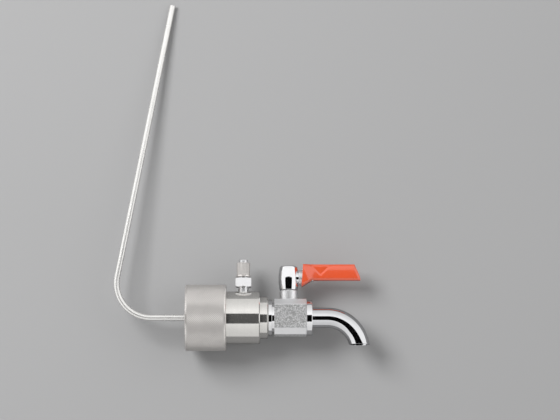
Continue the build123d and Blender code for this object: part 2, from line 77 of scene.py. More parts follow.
def length(label, description, default):
    """A size, given in millimetres and kept in metres."""
    return FloatProperty(
        name=label, description=description, default=default * MM, min=0, unit="LENGTH", precision=5
    )


def slant(label, description, default):
    """An angle, given in degrees."""
    return FloatProperty(
        name=label, description=description, default=radians(default), min=0, max=1, unit="ROTATION"
    )


def strength(label, description, default):
    """The strength of a light."""
    return FloatProperty(name=label, description=description, default=default, min=0)


def tint(label, default):
    """A colour."""
    said = "Colour of the " + label.lower()
    return FloatVectorProperty(
        name=label, description=said, default=default, min=0, max=1, size=3, subtype="COLOR"
    )


class FaucetSizes(PropertyGroup):
    """Sizes of the details that the solids leave out."""

    knurl_pitch: length("Knurl pitch", "Distance between the nut's knurls", 2.1)
    knurl_depth: length("Knurl depth", "Depth of the nut's knurls", 0.275)
    cap_knurl_pitch: length("Cap knurl pitch", "Distance between the vent cap's knurls", 0.9)
    cap_knurl_depth: length("Cap knurl depth", "Depth of the vent cap's knurls", 0.12)
    thread_pitch: length("Thread pitch", "Pitch of the thread in the nut, eleven turns to the inch", 2.309)
    thread_depth: length("Thread depth", "Depth of the thread in the nut", 1.4)
    edge_rounding: length("Edge rounding", "Rounding of the turned edges", 0.2)
    grip_edge_rounding: length("Grip edge rounding", "Rounding of the grip's moulded edges", 0.45)


class FaucetColours(PropertyGroup):
    """Colours of the finishes."""

    knurled: tint("Knurled stainless steel", (0.92, 0.885, 0.855))
    turned: tint("Turned stainless steel", (0.81, 0.795, 0.765))
    tube: tint("Drawn stainless tube", (0.90, 0.89, 0.87))
    blasted: tint("Bead-blasted faces", (0.84, 0.84, 0.845))
    chrome: tint("Polished chrome", (0.91, 0.91, 0.92))
    spout: tint("Spout's thinner chrome", (0.78, 0.785, 0.80))
    grip: tint("Moulded grip", (0.80, 0.105, 0.035))
    seal: tint("Rubber seals", (0.022, 0.022, 0.024))
    seat: tint("Fluoropolymer seats", (0.80, 0.80, 0.77))


class FaucetStage(PropertyGroup):
    """Camera, light and backdrop."""

    camera_distance: length("Camera distance", "From the camera to the middle of the picture", 3000)
    camera_drop: slant("Camera drop", "How far below the horizontal the camera looks from", 8)
    picture_width: length("Picture width", "What the picture's width covers at the faucet", 556)
    backdrop_gap: length("Backdrop gap", "From the faucet's axis to the backdrop behind it", 33.4)
    backdrop_lean: slant("Backdrop lean", "How far it leans in to the air tube's tip, which rests on it", 5.4)
    backdrop: tint("Backdrop", (0.41, 0.41, 0.413))
    key_power: strength("Key light", "Power of the large lamp at the upper left, in watts", 36)
    world_level: strength("World light", "Strength of the even light from the room", 0.42)
    reflection_level: strength("Reflected room", "Brightness of the white room that metal reflects", 1.06)


# Mesh helpers

def piece_from(name, mesh):
    """Makes an object of a bmesh whose points are in millimetres."""
    bmesh.ops.recalc_face_normals(mesh, faces=mesh.faces)
    bmesh.ops.scale(mesh, vec=Vector((MM, MM, MM)), verts=mesh.verts)
    data = bpy.data.meshes.new(name)
    mesh.to_mesh(data)
    mesh.free()
    piece = bpy.data.objects.new(name, data)
    bpy.context.scene.collection.objects.link(piece)
    return piece


def settle(piece):
    """Applies a piece's modifiers."""
    graph = bpy.context.evaluated_depsgraph_get()
    data = bpy.data.meshes.new_from_object(
        piece.evaluated_get(graph), preserve_all_data_layers=True, depsgraph=graph
    )
    worn = piece.data
    piece.modifiers.clear()
    piece.data = data
    bpy.data.meshes.remove(worn)
    data.name = piece.name


def combine(piece, tool, operation):
    """Cuts a tool from a piece, joins the two or keeps what they share. The tool goes away."""
    change = piece.modifiers.new("shape", "BOOLEAN")
    change.operation = operation
    change.solver = "EXACT"
    change.object = tool
    settle(piece)
    bpy.data.objects.remove(tool)


def place_on(origin, axis):
    """The place of a turned piece, whose local Z runs along its axis."""
    return Matrix.Translation(origin) @ axis.to_track_quat("Z", "Y").to_matrix().to_4x4()


barrel_place = place_on(barrel_axis, ALONG_X)
stem_place = place_on(stem_axis, ALONG_Z)
vent_place = place_on(vent_axis, ALONG_Z)
lever_place = place_on(Vector((0, 0, sum(corner.z for corner in span("lever_shank")) / 2)), ALONG_X)


def softened(outline, rounding, closed=True, steps=3):
    """Rounds an outline's corners. A point is (along, radius) or (along, radius, its own rounding)."""
    points = [Vector(point[:2]) for point in outline]
    result = []
    for i, corner in enumerate(points):
        size = outline[i][2] if len(outline[i]) > 2 else rounding
        if size == 0 or (not closed and i in (0, len(points) - 1)):
            result.append(corner)
            continue
        back = points[i - 1] - corner
        ahead = points[(i + 1) % len(points)] - corner
        half = back.angle(ahead) / 2
        reach = min(size / tan(half), 0.45 * min(back.length, ahead.length))
        back.normalize()
        ahead.normalize()
        centre = corner + (back + ahead).normalized() * reach * tan(half) / sin(half)
        arm = corner + back * reach - centre
        other = corner + ahead * reach - centre
        turn = atan2(arm.cross(other), arm.dot(other))
        for k in range(steps + 1):
            result.append(centre + Matrix.Rotation(turn * k / steps, 2) @ arm)
    return result


class Knurl:
    """Crossed grooves: the outline's rings from first to last are peaks and pits by turns."""

    def __init__(self, first, last, depth):
        self.first, self.last, self.depth = first, last, depth

    def covers(self, ring):
        return self.first <= ring <= self.last

    def is_pit(self, ring, column):
        return self.covers(ring) and (ring + column) % 2 == 1


def skin_rings(mesh, rings, closed, knurl=None):
    """Joins rings of points by faces. A ring of one point closes the surface on the axis."""
    segments = max(len(ring) for ring in rings)
    count = len(rings) if closed else len(rings) - 1
    for i in range(count):
        first, second = rings[i], rings[(i + 1) % len(rings)]
        for j in range(segments):
            k = (j + 1) % segments
            corners = [ring[n % len(ring)] for ring, n in ((first, j), (first, k), (second, k), (second, j))]
            if knurl and knurl.covers(i) and knurl.covers(i + 1):
                turned_over = corners[1:] + corners[:1]
                low, high, far, near = corners if knurl.is_pit(i, j) else turned_over
                mesh.faces.new((low, high, far))
                mesh.faces.new((low, far, near))
                continue
            face = list(dict.fromkeys(corners))
            if len(face) > 2:
                mesh.faces.new(face)


def turned(name, outline, place, segments=128, closed=False, knurl=None, thread=None):
    """A turned piece: an outline of (along, radius) points swept round its place's axis."""
    mesh = bmesh.new()
    # The valley layer marks the knurl pits, which the knurled finish roughens and darkens with painted shade.
    valley = mesh.verts.layers.float.new("valley")
    rings = []
    for i, (along, radius) in enumerate(outline):
        ring = []
        for j in range(segments if radius > 1e-6 else 1):
            angle = 2 * pi * j / segments
            pit = bool(knurl) and knurl.is_pit(i, j)
            reach = radius - (knurl.depth if pit else 0) + (thread(along, radius, angle) if thread else 0)
            point = mesh.verts.new(place @ Vector((reach * cos(angle), reach * sin(angle), along)))
            point[valley] = float(pit)
            ring.append(point)
        rings.append(ring)
    skin_rings(mesh, rings, closed, knurl)
    return piece_from(name, mesh)


def rod(name, place, start, end, radius, segments=64):
    """A plain round bar, used to cut and to join."""
    return turned(name, [(start, 0), (start, radius), (end, radius), (end, 0)], place, segments)


def prism(name, place, corners, start, end, rounding=0.0):
    """A bar with a many-sided section along its place's axis."""
    mesh = bmesh.new()
    foot = mesh.faces.new([mesh.verts.new(Vector((x, y, start))) for x, y in corners])
    made = bmesh.ops.extrude_face_region(mesh, geom=[foot])["geom"]
    top = [v for v in made if isinstance(v, bmesh.types.BMVert)]
    bmesh.ops.translate(mesh, verts=top, vec=(0, 0, end - start))
    if rounding:
        long_edges = [e for e in mesh.edges if abs(e.verts[0].co.z - e.verts[1].co.z) > 1e-6]
        bmesh.ops.bevel(mesh, geom=long_edges, offset=rounding, segments=3, profile=0.5, affect="EDGES")
    bmesh.ops.transform(mesh, matrix=place, verts=mesh.verts)
    return piece_from(name, mesh)


def knurl_band(start, end, radius, pitch):
    """The rings of a knurled band, two to a pitch."""
    rows = 2 * round((end - start) / pitch)
    return [(start + (end - start) * k / rows, radius) for k in range(rows + 1)]


def bent_route(start, run, radius, turn, leg, side):
    """Places and headings along a tube in the XZ plane: a run along X, one bend and a straight leg."""
    forward = 1 if run > 0 else -1
    corner = Vector((start + run, 0, 0))
    route = [(Vector((start, 0, 0)), Vector((forward, 0, 0)))]
    steps = max(2, round(turn / radians(1.5)))
    for k in range(steps + 1):
        angle = turn * k / steps
        heading = Vector((forward * cos(angle), 0, side * sin(angle)))
        route.append((corner + radius * Vector((forward * sin(angle), 0, side * (1 - cos(angle)))), heading))
    if leg:
        route.append((route[-1][0] + heading * leg, heading))
    return route


def tube(route, outer, inner, edge, segments=48):
    """A round tube along a route, with its end edges broken."""
    mesh = bmesh.new()
    depth_wise = Vector((0, 1, 0))

    def ring(centre, heading, radius):
        across = heading.cross(depth_wise)
        turns = [2 * pi * j / segments for j in range(segments)]
        spokes = [across * cos(turn) + depth_wise * sin(turn) for turn in turns]
        return [mesh.verts.new(centre + spoke * radius) for spoke in spokes]

    first, last = route[0], route[-1]
    inset = [(first[0] + first[1] * edge, first[1]), *route[1:-1], (last[0] - last[1] * edge, last[1])]
    rings = [ring(*first, outer - edge), *(ring(*place, outer) for place in inset), ring(*last, outer - edge)]
    rings.append(ring(*last, inner + edge))
    rings += [ring(*place, inner) for place in reversed(inset)]
    rings.append(ring(*first, inner + edge))
    skin_rings(mesh, rings, closed=True)
    return mesh


def dress(piece, body, slot_name, materials, *nodes, crease=30):
    """Shades a piece, gives it its materials, and lets it ride on its body in place of its nodes."""
    piece.data.materials.clear()
    for material in materials:
        piece.data.materials.append(material)
    piece.data.shade_smooth()
    piece.data.set_sharp_from_angle(angle=radians(crease))
    even = piece.modifiers.new("even_normals", "WEIGHTED_NORMAL")
    even.keep_sharp = True
    settle(piece)
    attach(piece, body)
    if nodes:
        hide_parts(*nodes)


# Node helpers

class Tree:
    """A node tree in the making."""

    def __init__(self, tree):
        self.tree = tree

    def add(self, kind, inputs=None, **settings):
        """Adds a node, sets it, and sets or links its inputs."""
        node = self.tree.nodes.new(kind)
        for name, value in settings.items():
            setattr(node, name, value)
        for name, value in (inputs or {}).items():
            socket = node.inputs[name]
            if isinstance(value, bpy.types.NodeSocket):
                self.tree.links.new(value, socket)
            else:
                socket.default_value = value
        return node

    def math(self, operation, first, second=0.0, third=0.0):
        """Adds a math node and gives back its output."""
        node = self.add("ShaderNodeMath", {0: first, 1: second, 2: third}, operation=operation)
        return node.outputs[0]

    def vector(self, operation, first, second):
        """Adds a vector math node."""
        return self.add("ShaderNodeVectorMath", {0: first, 1: second}, operation=operation)

    def remap(self, value, low, high, to_low, to_high):
        """Maps a value from one range to another, held inside it."""
        settings = {"Value": value, "From Min": low, "From Max": high, "To Min": to_low, "To Max": to_high}
        return self.add("ShaderNodeMapRange", settings).outputs["Result"]

    def blend(self, factor, first, second):
        """Mixes two colours."""
        node = self.add("ShaderNodeMix", {0: factor}, data_type="RGBA")
        for socket, colour in ((node.inputs[6], first), (node.inputs[7], second)):
            if isinstance(colour, bpy.types.NodeSocket):
                self.tree.links.new(colour, socket)
            else:
                socket.default_value = (*colour, 1)
        return node.outputs[2]

    def group(self, tree, **inputs):
        """Adds a node group."""
        node = self.add("ShaderNodeGroup", node_tree=tree)
        for name, value in inputs.items():
            socket = node.inputs[name.replace("_", " ").capitalize()]
            if isinstance(value, bpy.types.NodeSocket):
                self.tree.links.new(value, socket)
            else:
                socket.default_value = value
        return node


def effect(name, inputs, outputs):
    """Starts a shader node group with named sockets."""
    tree = bpy.data.node_groups.new(name, "ShaderNodeTree")
    for label, kind, default in inputs:
        socket = tree.interface.new_socket(name=label, in_out="INPUT", socket_type=kind)
        socket.default_value = default
    for label in outputs:
        tree.interface.new_socket(name=label, in_out="OUTPUT", socket_type="NodeSocketFloat")
    made = Tree(tree)
    return made, made.add("NodeGroupInput").outputs, made.add("NodeGroupOutput").inputs


def turning_lines():
    """Fine lines round an axis, on a turned piece's sides and faces alike."""
    if "turning_lines" in bpy.data.node_groups:
        return bpy.data.node_groups["turning_lines"]
    made, given, result = effect(
        "turning_lines",
        (
            ("Origin", "NodeSocketVector", (0, 0, 0)),
            ("Axis", "NodeSocketVector", (1, 0, 0)),
            ("Pitch", "NodeSocketFloat", 0.0003),
        ),
        ("Height", "Tone"),
    )
    point = made.add("ShaderNodeTexCoord").outputs["Object"]
    offset = made.vector("SUBTRACT", point, given["Origin"]).outputs[0]
    along = made.vector("DOT_PRODUCT", offset, given["Axis"]).outputs["Value"]
    stretch = {0: given["Axis"], "Scale": along}
    on_axis = made.add("ShaderNodeVectorMath", stretch, operation="SCALE").outputs[0]
    radial = made.vector("SUBTRACT", offset, on_axis).outputs[0]
    radius = made.add("ShaderNodeVectorMath", {0: radial}, operation="LENGTH").outputs["Value"]
    place = made.math("DIVIDE", made.math("ADD", along, radius), given["Pitch"])
    fine = made.add("ShaderNodeTexNoise", {"W": place, "Scale": 1.0, "Detail": 2.0}, noise_dimensions="1D")
    broad = made.add("ShaderNodeTexNoise", {"W": place, "Scale": 0.13, "Detail": 3.0}, noise_dimensions="1D")
    made.tree.links.new(fine.outputs[0], result["Height"])
    made.tree.links.new(broad.outputs[0], result["Tone"])
    return made.tree


def blast_grain():
    """The small pits and speckles of a bead-blasted or knurled surface."""
    if "blast_grain" in bpy.data.node_groups:
        return bpy.data.node_groups["blast_grain"]
    made, given, result = effect("blast_grain", (("Size", "NodeSocketFloat", 0.0005),), ("Height", "Tone"))
    point = made.add("ShaderNodeTexCoord").outputs["Object"]
    scale = made.math("DIVIDE", 1.0, given["Size"])
    pits = made.add("ShaderNodeTexVoronoi", {"Vector": point, "Scale": scale}, feature="SMOOTH_F1")
    noise = {"Vector": point, "Scale": scale, "Detail": 4.0, "Roughness": 0.65}
    speckle = made.add("ShaderNodeTexNoise", noise)
    height = made.math("MULTIPLY_ADD", pits.outputs["Distance"], 0.6, speckle.outputs[0])
    made.tree.links.new(height, result["Height"])
    made.tree.links.new(speckle.outputs[0], result["Tone"])
    return made.tree


def handling_marks():
    """Broad faint smears and fine scratches from handling."""
    if "handling_marks" in bpy.data.node_groups:
        return bpy.data.node_groups["handling_marks"]
    sockets = (("Size", "NodeSocketFloat", 0.012),)
    made, given, result = effect("handling_marks", sockets, ("Smear", "Scratch"))
    point = made.add("ShaderNodeTexCoord").outputs["Object"]
    scale = made.math("DIVIDE", 1.0, given["Size"])
    broad = {"Vector": point, "Scale": scale, "Detail": 3.0, "Distortion": 0.8}
    smear = made.add("ShaderNodeTexNoise", broad)
    stretched = made.vector("MULTIPLY", point, (1.0, 6.0, 9.0)).outputs[0]
    lines = made.add("ShaderNodeTexNoise", {"Vector": stretched, "Scale": made.math("MULTIPLY", scale, 9.0)})
    made.tree.links.new(made.remap(smear.outputs[0], 0.35, 0.7, 0.0, 1.0), result["Smear"])
    made.tree.links.new(made.remap(lines.outputs[0], 0.62, 0.75, 0.0, 1.0), result["Scratch"])
    return made.tree


# Finishes

def shader(name, **constants):
    """Starts a material, with constants on its surface."""
    material = bpy.data.materials.new(name)
    material.use_nodes = True
    surface = material.node_tree.nodes["Principled BSDF"].inputs
    for label, value in constants.items():
        surface[label.replace("_", " ")].default_value = value
    return material, Tree(material.node_tree), surface


def made_once(make):
    """Makes a material when it is first asked for, and gives it back from then on."""
    def asked_for(name, *values, **settings):
        return bpy.data.materials.get(name) or make(name, *values, **settings)
    return asked_for


def scaled(colour, factor):
    """A colour made lighter or darker."""
    return tuple(min(1.0, part * factor) for part in colour)


def smeared(made, marks, share, shade, darker):
    """Darkens a finish a little where it has been handled."""
    return made.blend(made.math("MULTIPLY", marks["Smear"], share), shade, darker)


def relief(made, surface, height, strength, distance):
    """Raises and lowers a finish by a height."""
    bump = made.add("ShaderNodeBump", {"Height": height, "Strength": strength, "Distance": distance})
    made.tree.links.new(bump.outputs[0], surface["Normal"])


def colour_in(made, surface, shade, level):
    """Gives a finish its colour and roughness."""
    made.tree.links.new(level, surface["Roughness"])
    made.tree.links.new(shade, surface["Base Color"])


@made_once
def metal(
    name, colour, roughness, spread, metallic=1.0, axis=None, origin=None, pitch=0.0, line_depth=0.0, haze=0.0
):
    """A metal with handling marks, and turning lines where it has an axis."""
    material, made, surface = shader(name, Metallic=metallic)
    marks = made.group(handling_marks(), size=0.011).outputs
    level = made.math("MULTIPLY_ADD", marks["Smear"], spread, roughness)
    level = made.math("MULTIPLY_ADD", marks["Scratch"], spread * 0.6, level)
    shade = smeared(made, marks, 0.5, colour, scaled(colour, 0.93))
    if axis is not None:
        lines = made.group(turning_lines(), origin=origin * MM, axis=axis, pitch=pitch).outputs
        relief(made, surface, lines["Height"], strength=1.0, distance=line_depth)
        level = made.math("ADD", level, made.remap(lines["Height"], 0.6, 0.8, 0.0, haze))
        shade = made.blend(made.math("MULTIPLY", lines["Tone"], 0.35), shade, scaled(colour, 0.86))
    colour_in(made, surface, shade, level)
    return material


@made_once
def knurled_metal(name, colour):
    """Satin steel, duller in the grooves of its knurling, with painted shade darkening them."""
    material, made, surface = shader(name, Metallic=0.75)
    grain = made.group(blast_grain(), size=0.00035).outputs
    marks = made.group(handling_marks(), size=0.014).outputs
    valley = made.add("ShaderNodeAttribute", attribute_name="valley").outputs["Fac"]
    # Painted shade: the colour falls to about six tenths of itself in the knurl pits.
    shade = made.blend(made.math("MULTIPLY", valley, 0.8), colour, scaled(colour, 0.5))
    shade = smeared(made, marks, 0.4, shade, scaled(colour, 0.85))
    level = made.math("MULTIPLY_ADD", valley, 0.14, 0.22)
    level = made.math("MULTIPLY_ADD", grain["Tone"], 0.12, level)
    relief(made, surface, grain["Height"], strength=0.5, distance=0.00003)
    colour_in(made, surface, shade, level)
    return material


@made_once
def blasted_metal(name, colour):
    """Bead-blasted metal: matt, pitted and slightly mottled."""
    material, made, surface = shader(name, Metallic=1.0)
    grain = made.group(blast_grain(), size=0.0012).outputs
    marks = made.group(handling_marks(), size=0.009).outputs
    speckle = made.remap(grain["Tone"], 0.4, 0.6, 0.0, 1.0)
    shade = made.blend(speckle, scaled(colour, 0.55), scaled(colour, 1.15))
    shade = smeared(made, marks, 0.3, shade, scaled(colour, 0.85))
    relief(made, surface, grain["Height"], strength=0.9, distance=0.00022)
    colour_in(made, surface, shade, made.math("MULTIPLY_ADD", grain["Tone"], 0.2, 0.5))
    return material


@made_once
def plastic(name, colour, roughness, grain_size, grain_depth, coat=0.0):
    """Moulded plastic or rubber with a faint skin texture."""
    material, made, surface = shader(name, IOR=1.5, Coat_Weight=coat, Coat_Roughness=0.08, Coat_IOR=1.65)
    grain = made.group(blast_grain(), size=grain_size).outputs
    marks = made.group(handling_marks(), size=0.02).outputs
    shade = smeared(made, marks, 0.5, colour, scaled(colour, 0.88))
    shade = made.blend(made.math("MULTIPLY", grain["Tone"], 0.15), shade, scaled(colour, 1.15))
    level = made.math("MULTIPLY_ADD", marks["Smear"], 0.1, roughness)
    level = made.math("MULTIPLY_ADD", marks["Scratch"], 0.12, level)
    relief(made, surface, grain["Height"], strength=0.4, distance=grain_depth)
    colour_in(made, surface, shade, level)
    return material


class Finishes:
    """The faucet's materials in the colours that the scene holds, with depths and pitches in metres."""

    def __init__(self, context):
        self.colours = context.scene.faucet_colours

    def knurled(self):
        return knurled_metal("knurled_metal", self.colours.knurled)

    def turned(self):
        lines = {"axis": ALONG_X, "origin": barrel_axis, "pitch": 0.0003, "line_depth": 5e-7, "haze": 0.2}
        return metal("turned_metal", self.colours.turned, roughness=0.07, spread=0.02, metallic=0.92, **lines)

    def upright(self):
        lines = {"axis": ALONG_Z, "origin": stem_axis, "pitch": 0.0003, "line_depth": 2e-6, "haze": 0.4}
        return metal("upright_metal", self.colours.turned, roughness=0.12, spread=0.05, **lines)

    def vent(self):
        lines = {"axis": ALONG_Z, "origin": vent_axis, "pitch": 0.0002, "line_depth": 1e-6, "haze": 0.1}
        return metal("vent_metal", self.colours.chrome, roughness=0.32, spread=0.06, **lines)

    def tube(self):
        return metal("drawn_tube", self.colours.tube, roughness=0.22, spread=0.08, metallic=0.68)

    def chrome(self):
        return metal("polished_chrome", self.colours.chrome, roughness=0.035, spread=0.03)

    def spout(self):
        return metal("spout_chrome", self.colours.spout, roughness=0.035, spread=0.03)

    def satin(self):
        return metal("satin_chrome", scaled(self.colours.chrome, 1.05), roughness=0.42, spread=0.06)

    def blasted(self):
        return blasted_metal("blasted_metal", self.colours.blasted)

    def grip(self):
        skin = {"grain_size": 0.0006, "grain_depth": 0.000012}
        return plastic("grip_plastic", self.colours.grip, roughness=0.2, coat=1.0, **skin)

    def seal(self):
        skin = {"grain_size": 0.0004, "grain_depth": 0.00004}
        return plastic("seal_rubber", self.colours.seal, roughness=0.55, **skin)

    def seat(self):
        skin = {"grain_size": 0.0005, "grain_depth": 0.00001}
        return plastic("seat_polymer", self.colours.seat, roughness=0.4, **skin)


# Coupling nut

class FAUCET_OT_coupling_nut(Operator):
    """Knurled swivel nut with its inner pipe thread"""

    bl_idname = "faucet.coupling_nut"
    bl_label = "Coupling nut"

    land = 0.9
    edge = 0.8
    rim_drop = 0.3
    run_out = 0.3
    mouth_chamfer = 1.5
    thread_minor = 28.33
    relief_radius = 30.1
    relief_start = -3.5
    lip_start = 8.2
    lip_radius = 26.2
    steps_per_turn = 8
    fade = 2.2

    def execute(self, context):
        sizes = context.scene.faucet_sizes
        low, high = span("coupling_nut")
        radius = max(high.y, high.z)
        pitch, depth = sizes.knurl_pitch / MM, sizes.knurl_depth / MM
        teeth = round(2 * pi * radius / pitch)
        band_start, band_end = low.x + self.edge + self.land, high.x - self.edge - self.land
        rim = radius - 0.5 * depth
        band = knurl_band(band_start, band_end, radius, pitch)
        start = [
            (low.x, radius - self.edge - self.rim_drop),
            (low.x + self.edge, rim),
            (band_start - self.run_out, rim),
        ]
        end = [
            (band_end + self.run_out, rim),
            (high.x - self.edge, rim),
            (high.x, radius - self.edge - self.rim_drop),
        ]
        outline = [*start, *band, *end]
        outline += softened(
            [
                (high.x, self.lip_radius), (self.lip_start, self.lip_radius),
                (self.lip_start, self.relief_radius), (self.relief_start, self.relief_radius),
                (self.relief_start, self.thread_minor),
            ],
            0.2,
        )
        turn_pitch, turn_depth = sizes.thread_pitch / MM, sizes.thread_depth / MM
        thread_end = low.x + self.mouth_chamfer
        rows = round((self.relief_start - thread_end) / turn_pitch * self.steps_per_turn)
        step = (self.relief_start - thread_end) / rows
        outline += [(self.relief_start - step * k, self.thread_minor) for k in range(1, rows)]
        outline += [(thread_end, self.thread_minor), (low.x, self.thread_minor + self.mouth_chamfer)]

        def thread(along, reach, angle):
            if reach != self.thread_minor or not thread_end < along < self.relief_start:
                return 0.0
            inside = min(along - thread_end, self.relief_start - along)
            wave = 0.5 - 0.5 * cos(2 * pi * along / turn_pitch - angle)
            return turn_depth * wave ** 0.8 * min(1.0, inside / self.fade)

        knurl = Knurl(len(start), len(start) + len(band) - 1, depth)
        nut = turned("nut_knurled", outline, barrel_place, 2 * teeth, True, knurl, thread)
        dress(nut, "swivel_nut", "knurled_steel", [Finishes(context).knurled()], "coupling_nut")
        return {"FINISHED"}


# Body

class FAUCET_OT_body(Operator):
    """Turned body with its mouth, liquid holes and spot face, and the rings beside it"""

    bl_idname = "faucet.body"
    bl_label = "Body"

    flange = 5.0
    mouth_radius = 20.0
    mouth_depth = 10.0
    mouth_chamfer = 1.2
    hub_radius = 5.8
    hub_length = 6.0
    socket_radius = 3.05
    socket_end = 24.0
    drilling_radius = 2.0
    drilling_end = 32.8
    web_end = 36.0
    chamber_end = 40.0
    chamber_radius = 14.75
    port_radius = 12.7
    barrel_radius = 26.0
    barrel_end = 45.7
    barrel_chamfer = 0.9
    boss_radius = 20.8
    boss_chamfer = 0.7
    hole_radius = 4.0
    hole_circle = 10.0
    holes = 5
    hole_spacing = radians(60)
    spot_face = 25.5
    spot_radius = 7.5
    vent_port_radius = 4.6
    vent_port_foot = 15.4
    gasket_bore = 22.0
    washer_bore = 12.85

    def execute(self, context):
        edge = context.scene.faucet_sizes.edge_rounding / MM
        low, high = span("tap_body")
        web_start = low.x + self.mouth_depth
        outline = [
            (self.drilling_end, 0), (self.drilling_end, self.drilling_radius, 0),
            (self.socket_end, self.drilling_radius, 0), (self.socket_end, self.socket_radius, 0),
            (web_start - self.hub_length, self.socket_radius),
            (web_start - self.hub_length, self.hub_radius, 0.5), (web_start, self.hub_radius, 0.4),
            (web_start, self.mouth_radius, 0.8), (low.x + self.mouth_chamfer, self.mouth_radius),
            (low.x, self.mouth_radius + self.mouth_chamfer), (low.x, high.y), (low.x + self.flange, high.y),
            (low.x + self.flange, self.barrel_radius),
            (self.barrel_end - self.barrel_chamfer, self.barrel_radius),
            (self.barrel_end, self.barrel_radius - self.barrel_chamfer),
            (self.barrel_end, self.boss_radius, 0.1), (high.x - self.boss_chamfer, self.boss_radius),
            (high.x, self.boss_radius - self.boss_chamfer), (high.x, self.port_radius),
            (self.chamber_end, self.port_radius, 0), (self.chamber_end, self.chamber_radius, 0),
            (self.web_end, self.chamber_radius, 0), (self.web_end, 0),
        ]
        body = turned("body_turned", softened(outline, edge, closed=False), barrel_place, 224)
        for k in range(self.holes):
            angle = pi / 2 + self.hole_spacing * (k + 1)
            centre = Vector((0, self.hole_circle * cos(angle), self.hole_circle * sin(angle)))
            hole = place_on(centre, ALONG_X)
            combine(body, rod("hole", hole, web_start - 1, self.web_end + 1, self.hole_radius), "DIFFERENCE")
        top = self.barrel_radius + 2
        cuts = ((self.spot_face, self.spot_radius), (self.vent_port_foot, self.vent_port_radius))
        for foot, radius in cuts:
            combine(body, rod("port", vent_place, foot, top, radius, 96), "DIFFERENCE")
        made = Finishes(context)
        dress(body, "faucet_body", "turned_steel", [made.turned()], "tap_body")
        for node, name, material, slot_name, inner in (
            ("drum_gasket", "gasket_ring", made.seal(), "seal", self.gasket_bore),
            ("inlet_washer", "washer_ring", made.seat(), "seat", self.washer_bore),
        ):
            low, high = span(node)
            reach = max(high.y, high.z)
            section = [(low.x, inner), (low.x, reach), (high.x, reach), (high.x, inner)]
            ring = turned(name, softened(section, 0.15), barrel_place, 160, closed=True)
            dress(ring, "faucet_body", slot_name, [material], node)
        return {"FINISHED"}


# Air tube

class FAUCET_OT_air_tube(Operator):
    """Drawn steel tube with one bend and open ends"""

    bl_idname = "faucet.air_tube"
    bl_label = "Air tube"

    run = -85.8
    bend_radius = 34.5
    turn = radians(101.1)
    leg = 278.2
    radius = 3.0
    wall = 0.8
    edge = 0.18

    def execute(self, context):
        end = span("air_tube")[1].x
        route = bent_route(end, self.run, self.bend_radius, self.turn, self.leg, 1)
        piece = piece_from("tube_bright", tube(route, self.radius, self.radius - self.wall, self.edge))
        dress(piece, "faucet_body", "bright_tube", [Finishes(context).tube()], "air_tube")
        return {"FINISHED"}


# Vent

